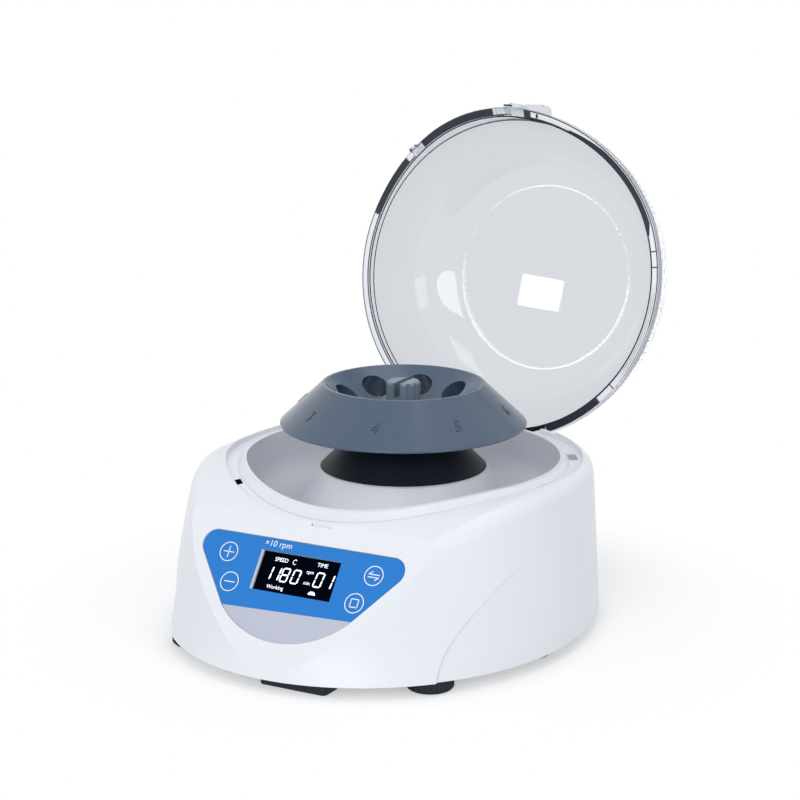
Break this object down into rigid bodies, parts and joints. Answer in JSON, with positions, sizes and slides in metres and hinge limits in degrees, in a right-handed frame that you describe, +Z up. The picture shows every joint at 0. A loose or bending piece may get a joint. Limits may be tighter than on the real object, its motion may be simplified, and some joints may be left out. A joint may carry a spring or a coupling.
{
  "type": "mini centrifuge",
  "caption": "Bench mini centrifuge: round white housing with sloped control panel, grey angle rotor on a rubber cone, clear domed lid hinged open at the back.",
  "frame": {"origin": "where the spindle's axis meets the bench", "axes": "+Z up along the spindle, -Y to the front panel, +X to the right seen from the front"},
  "size_m": [0.2396, 0.3612, 0.2881],
  "materials": {
    "shell_white": "satin moulded plastic",
    "bowl_grey": "satin moulded plastic",
    "rotor_grey": "fine satin",
    "knob_grey": "satin",
    "boot_black": "smooth rubber",
    "foot_rubber": "smooth rubber",
    "mount_rubber": "plain rubber",
    "lid_clear": "clear moulded plastic",
    "seal_dark": "smooth rubber",
    "latch_clear": "clear moulded plastic",
    "catch_dark": "satin",
    "panel_film": "printed film",
    "bezel_silver": "satin",
    "window_dark": "clear window over a dark display",
    "key_blue": "printed key",
    "board_green": "circuit board",
    "component_black": "component bodies",
    "screw_steel": "zinc plated",
    "rod_steel": "ground",
    "motor_steel": "painted can",
    "stator_iron": "laminated",
    "adapter_aluminium": "turned",
    "bracket_white": "painted steel",
    "inlet_black": "moulded plastic",
    "pin_brass": "plated"
  },
  "bodies": {
    "housing": {"upper_housing": "shell_white", "base_plate": "shell_white", "base_screws": "screw_steel", "round_feet": "foot_rubber", "front_foot": "foot_rubber", "chamber_bowl": "bowl_grey", "motor_boot": "boot_black", "hinge_bracket": "bracket_white", "bracket_screws": "screw_steel", "hinge_rod": "rod_steel", "rod_clips": "rod_steel", "panel_overlay": "panel_film", "display_bezel": "bezel_silver", "display_window": "window_dark", "display_module": "component_black", "tact_switches": "component_black", "control_board": "board_green", "board_screws": "screw_steel", "power_board": "board_green", "power_components": "component_black", "power_board_screws": "screw_steel", "motor_can": "motor_steel", "motor_end_cap": "motor_steel", "upper_bearing": "rod_steel", "lower_bearing": "rod_steel", "motor_stator": "stator_iron", "motor_plate": "rod_steel", "motor_screws": "screw_steel", "vibration_mounts": "mount_rubber", "mount_bolts": "screw_steel", "lid_lock_solenoid": "motor_steel", "lid_microswitch": "component_black", "ledge_pad": "catch_dark", "power_inlet": "inlet_black", "inlet_pins": "pin_brass", "power_switch_frame": "inlet_black"},
    "spindle": {"motor_shaft": "rod_steel", "rotor_adapter": "adapter_aluminium", "magnet_rotor": "stator_iron"},
    "rotor": {"rotor": "rotor_grey"},
    "lock_knob": {"rotor_lock_knob": "knob_grey"},
    "lid": {"lid_dome": "lid_clear", "lid_seal": "seal_dark", "lid_latch_block": "latch_clear", "lid_latch_tongue": "catch_dark", "lid_switch_hook": "latch_clear", "lid_hinge_leaf": "bracket_white", "hinge_leaf_screws": "screw_steel"},
    "lock_bolt": {"lock_bolt": "rod_steel"},
    "power_rocker": {"power_rocker": "inlet_black"},
    "button_plus": {"button_plus": "key_blue"},
    "button_minus": {"button_minus": "key_blue"},
    "button_direction": {"button_direction": "key_blue"},
    "button_start_stop": {"button_start_stop": "key_blue"}
  },
  "joints": [
    {"name": "spindle_turn", "type": "hinge", "parent": "housing", "child": "spindle", "pos_m": [0, 0, 0.05], "axis": [0, 0, 1], "continuous": true},
    {"name": "rotor_lift", "type": "slide", "parent": "spindle", "child": "rotor", "axis": [0, 0, 1], "range_m": [0, 0.009]},
    {"name": "knob_turn", "type": "hinge", "parent": "rotor", "child": "lock_knob", "pos_m": [0, 0, 0.13], "axis": [0, 0, 1], "range_deg": [0, 720]},
    {"name": "lid_hinge", "type": "hinge", "parent": "housing", "child": "lid", "pos_m": [0, 0.10231, 0.0828], "axis": [1, 0, 0], "range_deg": [0, 101.3]},
    {"name": "bolt_slide", "type": "slide", "parent": "housing", "child": "lock_bolt", "axis": [0, -1, 0], "range_m": [0, 0.0026], "stiffness_N_per_m": 100, "springref_m": -0.001},
    {"name": "rocker_tilt", "type": "hinge", "parent": "housing", "child": "power_rocker", "pos_m": [0.0155, 0.1082, 0.04], "axis": [1, 0, 0], "range_deg": [-16, 0]},
    {"name": "press_plus", "type": "slide", "parent": "housing", "child": "button_plus", "axis": [0, 0.8039, -0.5948], "range_m": [0, 0.0004], "stiffness_N_per_m": 400, "springref_m": -0.0005},
    {"name": "press_minus", "type": "slide", "parent": "housing", "child": "button_minus", "axis": [0, 0.8039, -0.5948], "range_m": [0, 0.0004], "stiffness_N_per_m": 400, "springref_m": -0.0005},
    {"name": "press_direction", "type": "slide", "parent": "housing", "child": "button_direction", "axis": [0, 0.8039, -0.5948], "range_m": [0, 0.0004], "stiffness_N_per_m": 400, "springref_m": -0.0005},
    {"name": "press_start_stop", "type": "slide", "parent": "housing", "child": "button_start_stop", "axis": [0, 0.8039, -0.5948], "range_m": [0, 0.0004], "stiffness_N_per_m": 400, "springref_m": -0.0005}
  ]
}
